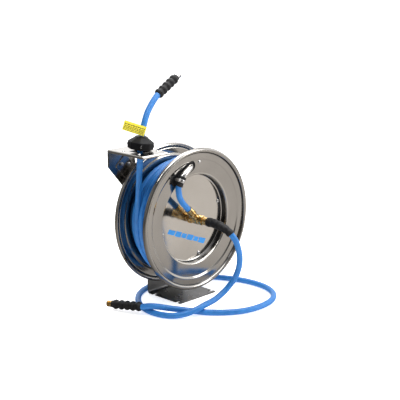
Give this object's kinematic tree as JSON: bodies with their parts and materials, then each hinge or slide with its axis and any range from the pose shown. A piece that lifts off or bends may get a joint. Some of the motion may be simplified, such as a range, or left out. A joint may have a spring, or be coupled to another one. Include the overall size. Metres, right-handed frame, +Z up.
{
  "type": "retractable hose reel",
  "caption": "Spring-rewind hose reel: hose wound between two polished discs, roller hose guide on an arm, folded pedestal, and a loose lead-in hose.",
  "frame": {"origin": "on the floor under the middle of the drum, on the underside of the base plate", "axes": "+Z up; the drum turns about Y; the disc with the swivel faces -Y; the hose guide stands on the -X side"},
  "size_m": [0.4282, 0.3518, 0.6131],
  "materials": {
    "polished_sheet": "polished stainless sheet",
    "plated_steel": "bright plated steel",
    "gooseneck_tube": "polished tube",
    "machined_steel": "machined or pressed steel",
    "spring_steel": "blued spring steel strip",
    "bushing_bronze": "sintered bronze",
    "brass": "turned brass",
    "seal_rubber": "nitrile seal",
    "black_rubber": "moulded black rubber, satin",
    "blue_hose": "smooth royal blue rubber hose",
    "yellow_tag": "laminated yellow tag",
    "roller_nylon": "black nylon"
  },
  "bodies": {
    "frame": {"pedestal": "polished_sheet", "guide_arm": "polished_sheet", "guide_head": "polished_sheet", "roller_cage": "plated_steel", "roller_pins": "plated_steel", "cage_rivets": "plated_steel", "arm_bolts": "plated_steel", "head_bolts": "plated_steel", "axle": "plated_steel", "axle_washer": "plated_steel", "axle_nut": "plated_steel", "spring_arbor": "machined_steel", "front_retaining_ring": "plated_steel", "pawl_pivot": "plated_steel", "pawl_spring": "plated_steel", "swivel_stem": "brass", "swivel_seals": "seal_rubber", "swivel_retaining_ring": "plated_steel", "lead_ferrule": "brass", "lead_restrictor": "black_rubber", "lead_hose": "blue_hose", "lead_grip": "black_rubber", "lead_fitting": "brass"},
    "drum": {"front_disc": "polished_sheet", "rear_disc": "polished_sheet", "drum_core": "machined_steel", "front_disc_screws": "plated_steel", "rear_disc_screws": "plated_steel", "ring_rivet": "plated_steel", "front_hub": "machined_steel", "rear_hub": "machined_steel", "front_bushing": "bushing_bronze", "rear_bushing": "bushing_bronze", "spring_case": "machined_steel", "spring_cover": "machined_steel", "main_spring": "spring_steel", "ratchet_wheel": "machined_steel", "swivel_body": "brass", "port_fitting": "brass", "link_hose": "blue_hose", "neck_grommet": "black_rubber", "neck_clamp": "plated_steel", "gooseneck": "gooseneck_tube", "wound_hose": "blue_hose"},
    "hose_end": {"stop_front_half": "black_rubber", "stop_rear_half": "black_rubber", "stop_bolts": "plated_steel", "hose_tag": "yellow_tag", "tail_hose": "blue_hose", "tail_grip": "black_rubber", "tail_fitting": "plated_steel", "pull_hose": "blue_hose"},
    "left_roller": {"roller_left": "roller_nylon"},
    "right_roller": {"roller_right": "roller_nylon"},
    "front_roller": {"roller_front": "roller_nylon"},
    "rear_roller": {"roller_rear": "roller_nylon"},
    "pawl": {"ratchet_pawl": "machined_steel"}
  },
  "joints": [
    {"name": "drum_spin", "type": "hinge", "parent": "frame", "child": "drum", "pos_m": [0, 0, 0.224], "axis": [0, 1, 0], "range_deg": [0, 360], "stiffness_Nm_per_rad": 0.07, "springref_deg": -1718.87},
    {"name": "hose_pull", "type": "slide", "parent": "frame", "child": "hose_end", "axis": [0, 0, 1], "range_m": [0, 1], "deforming": ["pull_hose"]},
    {"name": "left_roller_spin", "type": "hinge", "parent": "frame", "child": "left_roller", "pos_m": [-0.165, 0, 0.4195], "axis": [0, 1, 0], "continuous": true},
    {"name": "right_roller_spin", "type": "hinge", "parent": "frame", "child": "right_roller", "pos_m": [-0.135, 0, 0.4195], "axis": [0, 1, 0], "continuous": true},
    {"name": "front_roller_spin", "type": "hinge", "parent": "frame", "child": "front_roller", "pos_m": [-0.15, -0.015, 0.415], "axis": [1, 0, 0], "continuous": true},
    {"name": "rear_roller_spin", "type": "hinge", "parent": "frame", "child": "rear_roller", "pos_m": [-0.15, 0.015, 0.415], "axis": [1, 0, 0], "continuous": true},
    {"name": "pawl_swing", "type": "hinge", "parent": "frame", "child": "pawl", "pos_m": [0, 0.0385, 0.154], "axis": [0, 1, 0], "range_deg": [0, 20], "stiffness_Nm_per_rad": 0.02, "springref_deg": -28.65}
  ],
  "couplings": [
    {"joint": "hose_pull", "follows": "drum_spin", "m_per_rad": 0.159}
  ]
}
